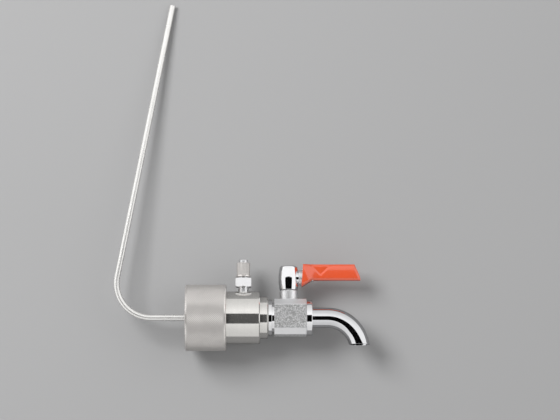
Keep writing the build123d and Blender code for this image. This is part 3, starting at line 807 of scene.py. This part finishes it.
class FAUCET_OT_vent(Operator):
    """Vent fitting with its hexagon, and the knurled cap on top"""

    bl_idname = "faucet.vent"
    bl_label = "Vent"

    thread_radius = 4.55
    seat = 25.5
    neck_radius = 5.0
    hex_foot = 30.3
    hex_top = 39.3
    hex_flat = 7.75
    hex_chamfer = 0.55
    hex_foot_chamfer = 0.9
    stud_radius = 3.5
    stud_top = 47.5
    bore_radius = 1.5
    stud_bore = 4.0
    pad_top = 49.15
    cap_foot = 40.5
    rim_height = 1.5
    rim_radius = 7.2
    cap_radius = 6.55
    nub_radius = 4.2
    nub_height = 3.0
    cap_edge = 0.35
    chamfer = 0.5
    stud_chamfer = 0.4
    band_foot_gap = 0.3
    band_top_gap = 0.2

    def execute(self, context):
        sizes = context.scene.faucet_sizes
        made = Finishes(context)
        low = span("vent_body")[0]
        corner = self.hex_flat / cos(pi / 6)
        corners = [(corner * sin(k * pi / 3), -corner * cos(k * pi / 3)) for k in range(6)]
        fitting = prism("vent_fitting", vent_place, corners, self.hex_foot, self.hex_top)
        envelope = [
            (self.hex_foot, 0), (self.hex_foot, self.hex_flat),
            (self.hex_foot + self.hex_foot_chamfer, corner + 0.05),
            (self.hex_top - self.hex_chamfer, corner + 0.05), (self.hex_top, self.hex_flat),
            (self.hex_top, 0),
        ]
        combine(fitting, turned("envelope", envelope, vent_place, 96), "INTERSECT")
        core = [
            (low.z, 0), (low.z, self.thread_radius - self.chamfer),
            (low.z + self.chamfer, self.thread_radius),
            (self.seat - 0.2, self.thread_radius), (self.seat, self.neck_radius),
            (self.hex_foot + 1, self.neck_radius), (self.hex_foot + 1, self.stud_radius),
            (self.stud_top - self.stud_chamfer, self.stud_radius),
            (self.stud_top, self.stud_radius - self.stud_chamfer),
            (self.stud_top, 0),
        ]
        combine(fitting, turned("core", core, vent_place, 64), "UNION")
        bore = rod("bore", vent_place, low.z - 1, self.stud_top + 1, self.bore_radius, 32)
        combine(fitting, bore, "DIFFERENCE")
        dress(fitting, "faucet_body", "blasted_steel", [made.vent()], "vent_body", crease=20)
        high = span("vent_cap")[1]
        cap_top = high.z - self.nub_height
        pitch, depth = sizes.cap_knurl_pitch / MM, sizes.cap_knurl_depth / MM
        teeth = round(2 * pi * self.cap_radius / pitch)
        band_start = self.cap_foot + self.rim_height + self.band_foot_gap
        band_end = cap_top - self.cap_edge - self.band_top_gap
        band = knurl_band(band_start, band_end, self.cap_radius, pitch)
        foot = softened(
            [
                (self.pad_top, 0), (self.pad_top, self.stud_bore, 0), (self.cap_foot, self.stud_bore),
                (self.cap_foot, self.rim_radius), (self.cap_foot + self.rim_height, self.rim_radius),
                (self.cap_foot + self.rim_height, self.cap_radius - depth, 0),
            ],
            0.25,
            closed=False,
        )
        head = softened(
            [
                (band_end + self.band_top_gap, self.cap_radius - depth),
                (cap_top, self.cap_radius - self.cap_edge - depth, 0.3), (cap_top, self.nub_radius, 0.2),
                (high.z, self.nub_radius, 0.5), (high.z, 0),
            ],
            0.2,
            closed=False,
        )
        knurl = Knurl(len(foot), len(foot) + len(band) - 1, depth)
        cap = turned("vent_cap_knurled", [*foot, *band, *head], vent_place, 2 * teeth, False, knurl)
        dress(cap, "vent_knob", "knurled_steel", [made.knurled(), made.vent()], "vent_cap")
        for face in cap.data.polygons:
            face.material_index = int(face.center.z / MM > cap_top - 0.05)
        return {"FINISHED"}


# Ball valve body and end ring

class FAUCET_OT_valve_block(Operator):
    """Blasted valve block with its polished shoulder, and the end ring"""

    bl_idname = "faucet.valve_block"
    bl_label = "Valve block"

    half = 17.6
    corner = 5.9
    block_start = 60.0
    block_end = 91.5
    edge = 0.35
    thread_radius = 12.65
    thread_chamfer = 0.8
    shoulder_start = 54.0
    shoulder_end = 57.7
    shoulder_radius = 17.85
    groove_radius = 14.8
    inlet_radius = 7.5
    cavity_radius = 11.55
    cavity = (64.4, 83.6)
    adapter_radius = 14.75
    adapter_play = 0.05
    adapter_end = 89.4
    seal_radius = 15.7
    seal_groove = 14.0
    socket_start = 87.6
    spout_socket = 10.02
    bonnet_bore = 8.0

    def section(self):
        flat, cut = self.half, self.half - self.corner
        points = [(flat, cut), (cut, flat)]
        for _ in range(3):
            points += [(-y, x) for x, y in points[-2:]]
        return points

    def execute(self, context):
        edge = context.scene.faucet_sizes.edge_rounding / MM
        made = Finishes(context)
        low, high = span("valve_body")
        ends = (self.block_start, self.block_end)
        block = prism("valve_block", barrel_place, self.section(), *ends, self.edge)
        neck = [
            (low.x, 0), (low.x, self.thread_radius - self.thread_chamfer, 0),
            (low.x + self.thread_chamfer, self.thread_radius, 0),
            (self.shoulder_start, self.thread_radius, 0), (self.shoulder_start, self.shoulder_radius, 0.5),
            (self.shoulder_end, self.shoulder_radius, 0.5), (self.shoulder_end, self.groove_radius, 0.1),
            (self.block_start + 1, self.groove_radius, 0), (self.block_start + 1, 0),
        ]
        combine(block, turned("neck", softened(neck, edge, False), barrel_place, 160), "UNION")
        bores = [
            (low.x - 1, 0), (low.x - 1, self.inlet_radius), (self.cavity[0], self.inlet_radius),
            (self.cavity[0], self.cavity_radius), (self.cavity[1], self.cavity_radius),
            (self.cavity[1], self.adapter_radius), (self.adapter_end, self.adapter_radius),
            (self.adapter_end, self.seal_radius), (self.block_end + 1, self.seal_radius),
            (self.block_end + 1, 0),
        ]
        combine(block, turned("bores", bores, barrel_place, 96), "DIFFERENCE")
        combine(block, rod("bonnet_bore", stem_place, 0, self.half + 1, self.bonnet_bore), "DIFFERENCE")
        looks = [made.satin(), made.blasted(), made.chrome()]
        dress(block, "faucet_body", "blasted_steel", looks, "valve_body")
        for face in block.data.polygons:
            middle = face.center / MM
            flat_side = max(abs(face.normal.y), abs(face.normal.z)) > 0.999
            outermost = max(abs(middle.y), abs(middle.z)) > self.half - 0.1
            if middle.x > self.block_start and flat_side and outermost:
                face.material_index = 1
            elif middle.x < self.block_start:
                face.material_index = 2
        low, high = span("end_adapter")
        reach = max(high.y, high.z)
        ring = [
            (low.x, self.inlet_radius), (low.x, self.adapter_radius - self.adapter_play),
            (self.adapter_end, self.adapter_radius - self.adapter_play), (self.adapter_end, self.seal_groove),
            (self.block_end, self.seal_groove, 0), (self.block_end, reach, 0.8), (high.x, reach, 0.8),
            (high.x, self.spout_socket, 0.3), (self.socket_start, self.spout_socket, 0),
            (self.socket_start, self.inlet_radius, 0),
        ]
        adapter = turned("end_ring", softened(ring, edge), barrel_place, 160, closed=True)
        dress(adapter, "faucet_body", "chrome", [made.chrome()], "end_adapter")
        return {"FINISHED"}


# Spout

class FAUCET_OT_spout(Operator):
    """Bent spout tube, cut off level"""

    bl_idname = "faucet.spout"
    bl_label = "Spout"

    run = 24.7
    bend_radius = 32.0
    radius = 10.0
    wall = 1.0
    edge = 0.15
    rim = 0.22

    def execute(self, context):
        low = span("spout_tube")[0]
        route = bent_route(low.x, self.run, self.bend_radius, pi / 2, 0, -1)
        mesh = tube(route, self.radius, self.radius - self.wall, self.edge, 112)
        whole = [*mesh.verts, *mesh.edges, *mesh.faces]
        level = {"plane_co": (0, 0, low.z), "plane_no": (0, 0, -1)}
        cut = bmesh.ops.bisect_plane(mesh, geom=whole, **level, clear_outer=True)["geom_cut"]
        mouth = [item for item in cut if isinstance(item, bmesh.types.BMEdge)]
        bmesh.ops.bridge_loops(mesh, edges=mouth)
        bmesh.ops.bevel(mesh, geom=mouth, offset=self.rim, segments=2, profile=0.5, affect="EDGES")
        spout = piece_from("spout_bright", mesh)
        dress(spout, "faucet_body", "chrome", [Finishes(context).spout()], "spout_tube")
        return {"FINISHED"}


# Bonnet and handle

class FAUCET_OT_handle(Operator):
    """Bonnet, handle head with its screw, and the grooved collar of the lever"""

    bl_idname = "faucet.handle"
    bl_label = "Bonnet and handle head"

    block_top = 17.25
    bonnet_radius = 8.9
    bonnet_thread = 7.95
    bonnet_chamfer = 0.6
    stem_bore = 4.05
    collar_bore = 5.7
    collar_top = 14.75
    head_waist = 38.2
    head_mid_radius = 9.9
    head_top_radius = 8.3
    head_foot_radius = 8.85
    head_round = 2.4
    recess_radius = 3.5
    recess_floor = 44.35
    floor_thickness = 2.7
    screw_hole_foot = 40.0
    screw_hole_radius = 1.7
    square_half = 3.05
    socket_radius = 4.05
    boss_radius = 6.8
    boss_reach = 10.1
    profile_steps = 24
    groove_depth = 0.7
    groove_width = 0.8
    spigot_radius = 2.95
    spigot_length = 5.4
    collar_width = 4.2
    root_radius = 4.0
    root_length = 10.0
    tip_radius = 2.2
    screw_radius = 1.5
    screw_head_radius = 2.75
    screw_head = 3.0
    screw_socket = 1.25
    key_depth = 1.5

    def execute(self, context):
        edge = context.scene.faucet_sizes.edge_rounding / MM
        made = Finishes(context)
        self.bonnet(made, edge)
        self.head(made, edge)
        self.screw(made, edge)
        self.shank(made, edge)
        return {"FINISHED"}

    def bonnet(self, made, edge):
        low, high = span("bonnet")
        outline = [
            (low.z, self.collar_bore), (low.z, self.bonnet_thread), (self.block_top, self.bonnet_thread, 0),
            (self.block_top, self.bonnet_radius), (high.z - self.bonnet_chamfer, self.bonnet_radius),
            (high.z, self.bonnet_radius - self.bonnet_chamfer), (high.z, self.stem_bore),
            (self.collar_top, self.stem_bore, 0), (self.collar_top, self.collar_bore, 0),
        ]
        bonnet = turned("bonnet_turned", softened(outline, edge), stem_place, 128, closed=True)
        dress(bonnet, "faucet_body", "chrome", [made.satin()], "bonnet")

    def head(self, made, edge):
        low, high = span("handle_head")
        sides = []
        for k in range(self.profile_steps + 1):
            share = 2 * k / self.profile_steps - 1
            end, reach = self.head_foot_radius, self.head_waist - low.z
            if share > 0:
                end, reach = self.head_top_radius, high.z - self.head_waist
            radius = self.head_mid_radius - (self.head_mid_radius - end) * share ** 2
            sides.append((self.head_waist + share * reach, radius, 0))
        sides[0] = (*sides[0][:2], 0.7)
        sides[-1] = (*sides[-1][:2], self.head_round)
        top_points = [point for point in sides[:-1] if point[0] < high.z - self.head_round - 0.4]
        outline = [
            (self.recess_floor, 0), (self.recess_floor, self.recess_radius, 0),
            (high.z, self.recess_radius, 0.4),
            sides[-1],
            *reversed(top_points),
            (low.z, 0),
        ]
        head = turned("handle_hub", softened(outline, edge, closed=False, steps=6), stem_place, 160)
        boss_end = stem_axis.x + self.boss_reach
        boss = [
            (stem_axis.x, 0), (stem_axis.x, self.boss_radius, 0), (boss_end, self.boss_radius, 0.3),
            (boss_end, 0),
        ]
        combine(head, turned("boss", softened(boss, edge, False), lever_place, 96), "UNION")
        hole_start = boss_end - self.spigot_length - 0.1
        hole = rod("spigot_hole", lever_place, hole_start, boss_end + 1, self.spigot_radius + 0.05)
        combine(head, hole, "DIFFERENCE")
        size = self.square_half
        corners = [(-size, -size), (size, -size), (size, size), (-size, size)]
        square = prism("square", stem_place, corners, low.z - 1, self.recess_floor - self.floor_thickness)
        combine(square, rod("socket", stem_place, low.z - 2, high.z, self.socket_radius), "INTERSECT")
        combine(head, square, "DIFFERENCE")
        ends = (self.screw_hole_foot, self.recess_floor + 1)
        hole = rod("screw_hole", stem_place, *ends, self.screw_hole_radius, 32)
        combine(head, hole, "DIFFERENCE")
        dress(head, "handle", "chrome", [made.chrome()], "handle_head")

    def screw(self, made, edge):
        low, high = span("handle_screw")
        outline = [
            (low.z, 0), (low.z, self.screw_radius, 0.3), (high.z - self.screw_head, self.screw_radius, 0.1),
            (high.z - self.screw_head, self.screw_head_radius), (high.z, self.screw_head_radius, 0.4),
            (high.z, 0),
        ]
        screw = turned("hub_screw", softened(outline, edge, closed=False), stem_place, 48)
        corner = self.screw_socket / cos(pi / 6)
        corners = [(corner * cos(k * pi / 3), corner * sin(k * pi / 3)) for k in range(6)]
        combine(screw, prism("key", stem_place, corners, high.z - self.key_depth, high.z + 1), "DIFFERENCE")
        dress(screw, "handle", "turned_steel", [made.upright()], "handle_screw")

    def shank(self, made, edge):
        low, high = span("lever_shank")
        collar_start = low.x + self.spigot_length
        collar_end = collar_start + self.collar_width
        reach = max(high.y, (high.z - low.z) / 2)
        outline = [(low.x, 0), (low.x, self.spigot_radius), (collar_start, self.spigot_radius, 0)]
        outline.append((collar_start, reach, 0.35))
        for share in (1 / 3, 2 / 3):
            middle = collar_start + self.collar_width * share
            start, end = middle - self.groove_width / 2, middle + self.groove_width / 2
            outline += [(start, reach, 0.12), (start, reach - self.groove_depth, 0.1)]
            outline += [(end, reach - self.groove_depth, 0.1), (end, reach, 0.12)]
        outline += [
            (collar_end, reach, 0.35), (collar_end, self.root_radius, 0),
            (collar_end + self.root_length, self.root_radius),
            (collar_end + self.root_length, self.tip_radius, 0), (high.x, self.tip_radius), (high.x, 0),
        ]
        shank = turned("lever_collar", softened(outline, edge, closed=False), lever_place, 128)
        dress(shank, "handle", "chrome", [made.satin()], "lever_shank")


# Grip

class FAUCET_OT_grip(Operator):
    """Moulded grip: a flat bevelled blade that swells into a wide root"""

    bl_idname = "faucet.grip"
    bl_label = "Grip"

    blade_bottom = 36.9
    root_bottom = 30.4
    tip = 145.0
    root_taper = 10.0
    end_slant = 5.8
    end_land = 3.0
    blade_half = 3.9
    root_half = 7.6
    bevel_width = 2.0
    bevel_depth = 1.5
    root_reach = 20.0
    root_lean = 1.6
    root_undercut = 2.6
    crown = 0.4
    dent_foot = Vector((105.6, 41.2))
    dent_slope = 0.95
    dent_depth = 0.8
    dent_rise = 8.0
    dent_ramp = 1.6
    fade_start = 0.25
    fade_length = 0.55
    fade_lean = 0.25
    fade_curve = 1.6
    end_bevel_share = 0.9
    tang_step = 98.3
    tang_root = 4.0
    tang_tip = 2.2
    columns = 84
    rows = 34
    first_column = 0.012
    last_columns = (0.955, 0.978)
    above_land = 0.02

    def execute(self, context):
        low, high = span("lever_grip")
        self.low, self.high = Vector((low.x, low.y, self.root_bottom)), Vector((self.tip, high.y, high.z))
        grip = piece_from("grip_moulded", self.blade())
        rounding = grip.modifiers.new("rounding", "BEVEL")
        rounding.width = context.scene.faucet_sizes.grip_edge_rounding
        rounding.segments = 3
        rounding.limit_method = "ANGLE"
        rounding.angle_limit = radians(17)
        settle(grip)
        tang_end = span("lever_shank")[1].x
        tang = [
            (low.x - 3, 0), (low.x - 3, self.tang_root), (self.tang_step, self.tang_root),
            (self.tang_step, self.tang_tip), (tang_end, self.tang_tip), (tang_end, 0),
        ]
        combine(grip, turned("tang", tang, lever_place, 48), "DIFFERENCE")
        dress(grip, "handle", "grip", [Finishes(context).grip()], "lever_grip", crease=45)
        return {"FINISHED"}

    def end_at(self, z):
        """Where the blade ends at a height."""
        land = self.blade_bottom + self.end_land
        slope = self.end_slant / (self.high.z - land)
        return self.high.x - max(0.0, z - land) * slope

    def half_thickness(self, x, z):
        """Half the grip's thickness: the blade's, and the root's swelling before it fades."""
        from_root = (x - self.low.x) / self.root_reach
        height = (z - self.blade_bottom) / (self.high.z - self.blade_bottom)
        lean = self.fade_lean * height
        fade = 1 - max(0.0, min(1.0, (from_root - self.fade_start + lean) / (self.fade_length + lean)))
        swelling = (self.root_half - self.blade_half) * fade ** self.fade_curve
        bulge = self.crown * (1 - min(1.0, abs(2 * height - 1)) ** 2)
        undercut = self.root_undercut * max(0.0, -height * 2) * max(0.0, 1 - from_root)
        above = z - self.dent_foot.y - self.dent_slope * abs(x - self.dent_foot.x)
        ramp = max(0.0, min(1.0, above / self.dent_ramp))
        dent = self.dent_depth * ramp * max(0.0, 1 - max(0.0, above) / self.dent_rise)
        return self.blade_half + swelling + bulge - undercut - dent

    def blade(self):
        low, high = self.low, self.high
        mesh = bmesh.new()
        start, (end, beyond) = self.first_column, self.last_columns
        knots_x = [0.0, start]
        knots_x += [start + (end - start) * k / (self.columns - 4) for k in range(1, self.columns - 3)]
        knots_x += [beyond, 1.0]
        bevel = self.bevel_width / (high.z - self.blade_bottom)
        land = self.end_land / (high.z - self.blade_bottom) + self.above_land
        knots_z = [0.0, bevel / 2, bevel, land]
        knots_z += [land + (1 - bevel - land) * k / (self.rows - 6) for k in range(1, self.rows - 5)]
        knots_z += [1 - bevel / 2, 1.0]
        sides = {}
        for side in (-1, 1):
            grid = []
            for share_x in knots_x:
                nominal = low.x + (high.x - low.x) * share_x
                foot = self.blade_bottom
                if nominal < low.x + self.root_taper:
                    foot = low.z + (self.blade_bottom - low.z) * (nominal - low.x) / self.root_taper
                column = []
                for share_z in knots_z:
                    z = foot + (high.z - foot) * share_z
                    start = low.x - self.root_lean * (high.z - z) / (high.z - low.z)
                    x = start + (nominal - low.x) * (self.end_at(z) - start) / (high.x - low.x)
                    rim = min(z - foot, high.z - z, (self.end_at(z) - x) * self.end_bevel_share)
                    cut = self.bevel_depth * max(0.0, 1 - rim / self.bevel_width)
                    column.append(mesh.verts.new((x, side * (self.half_thickness(x, z) - cut), z)))
                grid.append(column)
            for first, second in zip(grid, grid[1:]):
                for k in range(len(first) - 1):
                    mesh.faces.new((first[k], second[k], second[k + 1], first[k + 1]))
            loop = [column[0] for column in grid] + grid[-1][1:]
            loop += [column[-1] for column in reversed(grid[:-1])] + list(reversed(grid[0][1:-1]))
            sides[side] = loop
        front, back = sides[-1], sides[1]
        for k in range(len(front)):
            n = (k + 1) % len(front)
            mesh.faces.new((front[k], front[n], back[n], back[k]))
        return mesh


# Inner pieces that keep their solids

class FAUCET_OT_inner_pieces(Operator):
    """Ball, stem, seats and seals inside the faucet"""

    bl_idname = "faucet.inner_pieces"
    bl_label = "Inner pieces"

    def execute(self, context):
        made = Finishes(context)
        looks = {
            "valve_ball": made.chrome(),
            "inlet_seat": made.seat(),
            "outlet_seat": made.seat(),
            "adapter_o_ring": made.seal(),
            "stem": made.upright(),
            "thrust_washer": made.seat(),
            "stem_o_rings": made.seal(),
            "stop_pin": made.upright(),
            "vent_pad": made.seal(),
        }
        for node, material in looks.items():
            for slot in frame["nodes"][node].material_slots:
                slot.material = material
        return {"FINISHED"}


# Stage

def area_lamp(name, place, aim, size, power):
    """A square lamp that metal doesn't mirror."""
    data = bpy.data.lights.new(name, "AREA")
    data.shape = "SQUARE"
    data.size = size
    data.energy = power
    lamp = bpy.data.objects.new(name, data)
    lamp.location = place
    lamp.rotation_mode = "QUATERNION"
    lamp.rotation_quaternion = (place - aim).to_track_quat("Z", "Y")
    lamp.visible_glossy = False
    bpy.context.scene.collection.objects.link(lamp)


def sheet_at(name, centre, facing, width, height):
    """A flat card or backdrop that faces a way."""
    mesh = bmesh.new()
    turn = facing.to_track_quat("Z", "Y").to_matrix()
    corners = [Vector((x * width / 2, y * height / 2, 0)) for x, y in ((-1, -1), (1, -1), (1, 1), (-1, 1))]
    mesh.faces.new([mesh.verts.new(centre + turn @ corner) for corner in corners])
    data = bpy.data.meshes.new(name)
    mesh.to_mesh(data)
    mesh.free()
    card = bpy.data.objects.new(name, data)
    bpy.context.scene.collection.objects.link(card)
    return card


class FAUCET_OT_stage(Operator):
    """Backdrop, soft light, the dark card that metal mirrors, and the camera"""

    bl_idname = "faucet.stage"
    bl_label = "Stage"

    picture_centre = Vector((0.0655, 0, 0.1075))
    lamp_aim = Vector((0.05, 0, 0.05))
    key_place = Vector((-1.05, -1.75, 0.78))
    fill_place = Vector((1.5, -1.6, 0.4))
    key_size = 1.0
    fill_size = 1.6
    fill_share = 0.18
    backdrop_foot = Vector((0.07, 0, 0))
    backdrop_size = (6, 6)
    # Painted shade: the share of the backdrop's colour that metal mirrors, darker than the camera sees it.
    painted_mirror_shade = 0.55
    card_place = Vector((0.068, -1.2, -0.235))
    card_size = (2.0, 0.99)
    card_black = (0.004, 0.004, 0.004, 1)
    room_floor = 0.66
    room_ceiling = 0.66
    seen_room = 0.46

    def execute(self, context):
        stage = context.scene.faucet_stage
        context.scene.view_settings.view_transform = "Standard"
        self.backdrop(stage)
        self.card()
        self.world(context, stage)
        area_lamp("key_lamp", self.key_place, self.lamp_aim, self.key_size, stage.key_power)
        fill_power = stage.key_power * self.fill_share
        area_lamp("fill_lamp", self.fill_place, self.lamp_aim, self.fill_size, fill_power)
        self.camera(context, stage)
        return {"FINISHED"}

    def backdrop(self, stage):
        centre = self.backdrop_foot + Vector((0, stage.backdrop_gap, 0))
        facing = Vector((0, -cos(stage.backdrop_lean), -sin(stage.backdrop_lean)))
        sheet = sheet_at("backdrop", centre, facing, *self.backdrop_size)
        material, made, surface = shader("backdrop_paper", Metallic=0.0, Roughness=0.9)
        point = made.add("ShaderNodeTexCoord").outputs["Object"]
        mottle = made.add("ShaderNodeTexNoise", {"Vector": point, "Scale": 3.0, "Detail": 1.0}).outputs[0]
        shade = made.blend(mottle, scaled(stage.backdrop, 0.985), scaled(stage.backdrop, 1.015))
        # Painted shade: in reflections the backdrop turns darker, standing in for the shade on the table
        # around the faucet.
        glossy_shade_mask = made.add("ShaderNodeLightPath").outputs["Is Glossy Ray"]
        shade = made.blend(glossy_shade_mask, shade, scaled(stage.backdrop, self.painted_mirror_shade))
        made.tree.links.new(shade, surface["Base Color"])
        behind = made.add("ShaderNodeNewGeometry").outputs["Backfacing"]
        clear = made.add("ShaderNodeBsdfTransparent").outputs[0]
        both = made.add("ShaderNodeMixShader", {0: behind})
        made.tree.links.new(made.tree.nodes["Principled BSDF"].outputs[0], both.inputs[1])
        made.tree.links.new(clear, both.inputs[2])
        made.tree.links.new(both.outputs[0], made.tree.nodes["Material Output"].inputs["Surface"])
        sheet.data.materials.append(material)

    def card(self):
        card = sheet_at("dark_card", self.card_place, Vector((0, 1, 0)), *self.card_size)
        material, _, surface = shader("card_black", Metallic=0.0, Roughness=1.0)
        surface["Base Color"].default_value = self.card_black
        surface["Specular IOR Level"].default_value = 0.0
        card.data.materials.append(material)
        card.visible_camera = False
        card.visible_diffuse = False
        card.visible_shadow = False

    def world(self, context, stage):
        world = bpy.data.worlds.new("studio")
        world.use_nodes = True
        context.scene.world = world
        made = Tree(world.node_tree)
        paths = made.add("ShaderNodeLightPath").outputs
        way = made.add("ShaderNodeTexCoord").outputs["Generated"]
        parts = made.add("ShaderNodeSeparateXYZ", {0: way}).outputs
        below = made.remap(parts["Z"], -1.0, -0.1, self.room_floor, 1.0)
        above = made.remap(parts["Z"], 0.45, 1.0, 1.0, self.room_ceiling)
        room = made.math("MULTIPLY", made.math("MULTIPLY", below, above), stage.reflection_level)
        lit = made.add("ShaderNodeMix", {0: paths["Is Diffuse Ray"], 2: room, 3: stage.world_level})
        seen = made.add("ShaderNodeMix", {0: paths["Is Camera Ray"], 2: lit.outputs[0], 3: self.seen_room})
        back = world.node_tree.nodes["Background"]
        made.tree.links.new(seen.outputs[0], back.inputs["Strength"])
        back.inputs["Color"].default_value = (1, 1, 1, 1)

    def camera(self, context, stage):
        data = bpy.data.cameras.new("camera")
        data.sensor_width = 36
        data.lens = data.sensor_width * stage.camera_distance / stage.picture_width
        data.clip_start = 0.1
        camera = bpy.data.objects.new("camera", data)
        back = Vector((0, -cos(stage.camera_drop), -sin(stage.camera_drop)))
        camera.location = self.picture_centre + back * stage.camera_distance
        camera.rotation_mode = "QUATERNION"
        camera.rotation_quaternion = back.to_track_quat("Z", "Y")
        context.scene.collection.objects.link(camera)
        context.scene.camera = camera


STEPS = (
    FAUCET_OT_coupling_nut,
    FAUCET_OT_body,
    FAUCET_OT_air_tube,
    FAUCET_OT_vent,
    FAUCET_OT_valve_block,
    FAUCET_OT_spout,
    FAUCET_OT_handle,
    FAUCET_OT_grip,
    FAUCET_OT_inner_pieces,
    FAUCET_OT_stage,
)


class FAUCET_PT_panel(Panel):
    """Lists the faucet's settings and its steps"""

    bl_label = "Drum faucet"
    bl_idname = "FAUCET_PT_panel"
    bl_space_type = "VIEW_3D"
    bl_region_type = "UI"
    bl_category = "Faucet"

    def draw(self, context):
        for settings, kind in SETTINGS.items():
            box = self.layout.box()
            for name in kind.__annotations__:
                box.prop(getattr(context.scene, settings), name)
        for step in STEPS:
            self.layout.operator(step.bl_idname)


SETTINGS = {"faucet_sizes": FaucetSizes, "faucet_colours": FaucetColours, "faucet_stage": FaucetStage}


def register():
    """Registers the settings, the steps and the panel."""
    for name, kind in SETTINGS.items():
        bpy.utils.register_class(kind)
        setattr(bpy.types.Scene, name, PointerProperty(type=kind))
    for kind in (*STEPS, FAUCET_PT_panel):
        bpy.utils.register_class(kind)


def unregister():
    """Undoes register."""
    for kind in (FAUCET_PT_panel, *reversed(STEPS)):
        bpy.utils.unregister_class(kind)
    for name, kind in SETTINGS.items():
        delattr(bpy.types.Scene, name)
        bpy.utils.unregister_class(kind)


def main():
    """Makes every piece in order."""
    register()
    for step in STEPS:
        group, name = step.bl_idname.split(".")
        getattr(getattr(bpy.ops, group), name)()


if __name__ == "__main__":
    main()
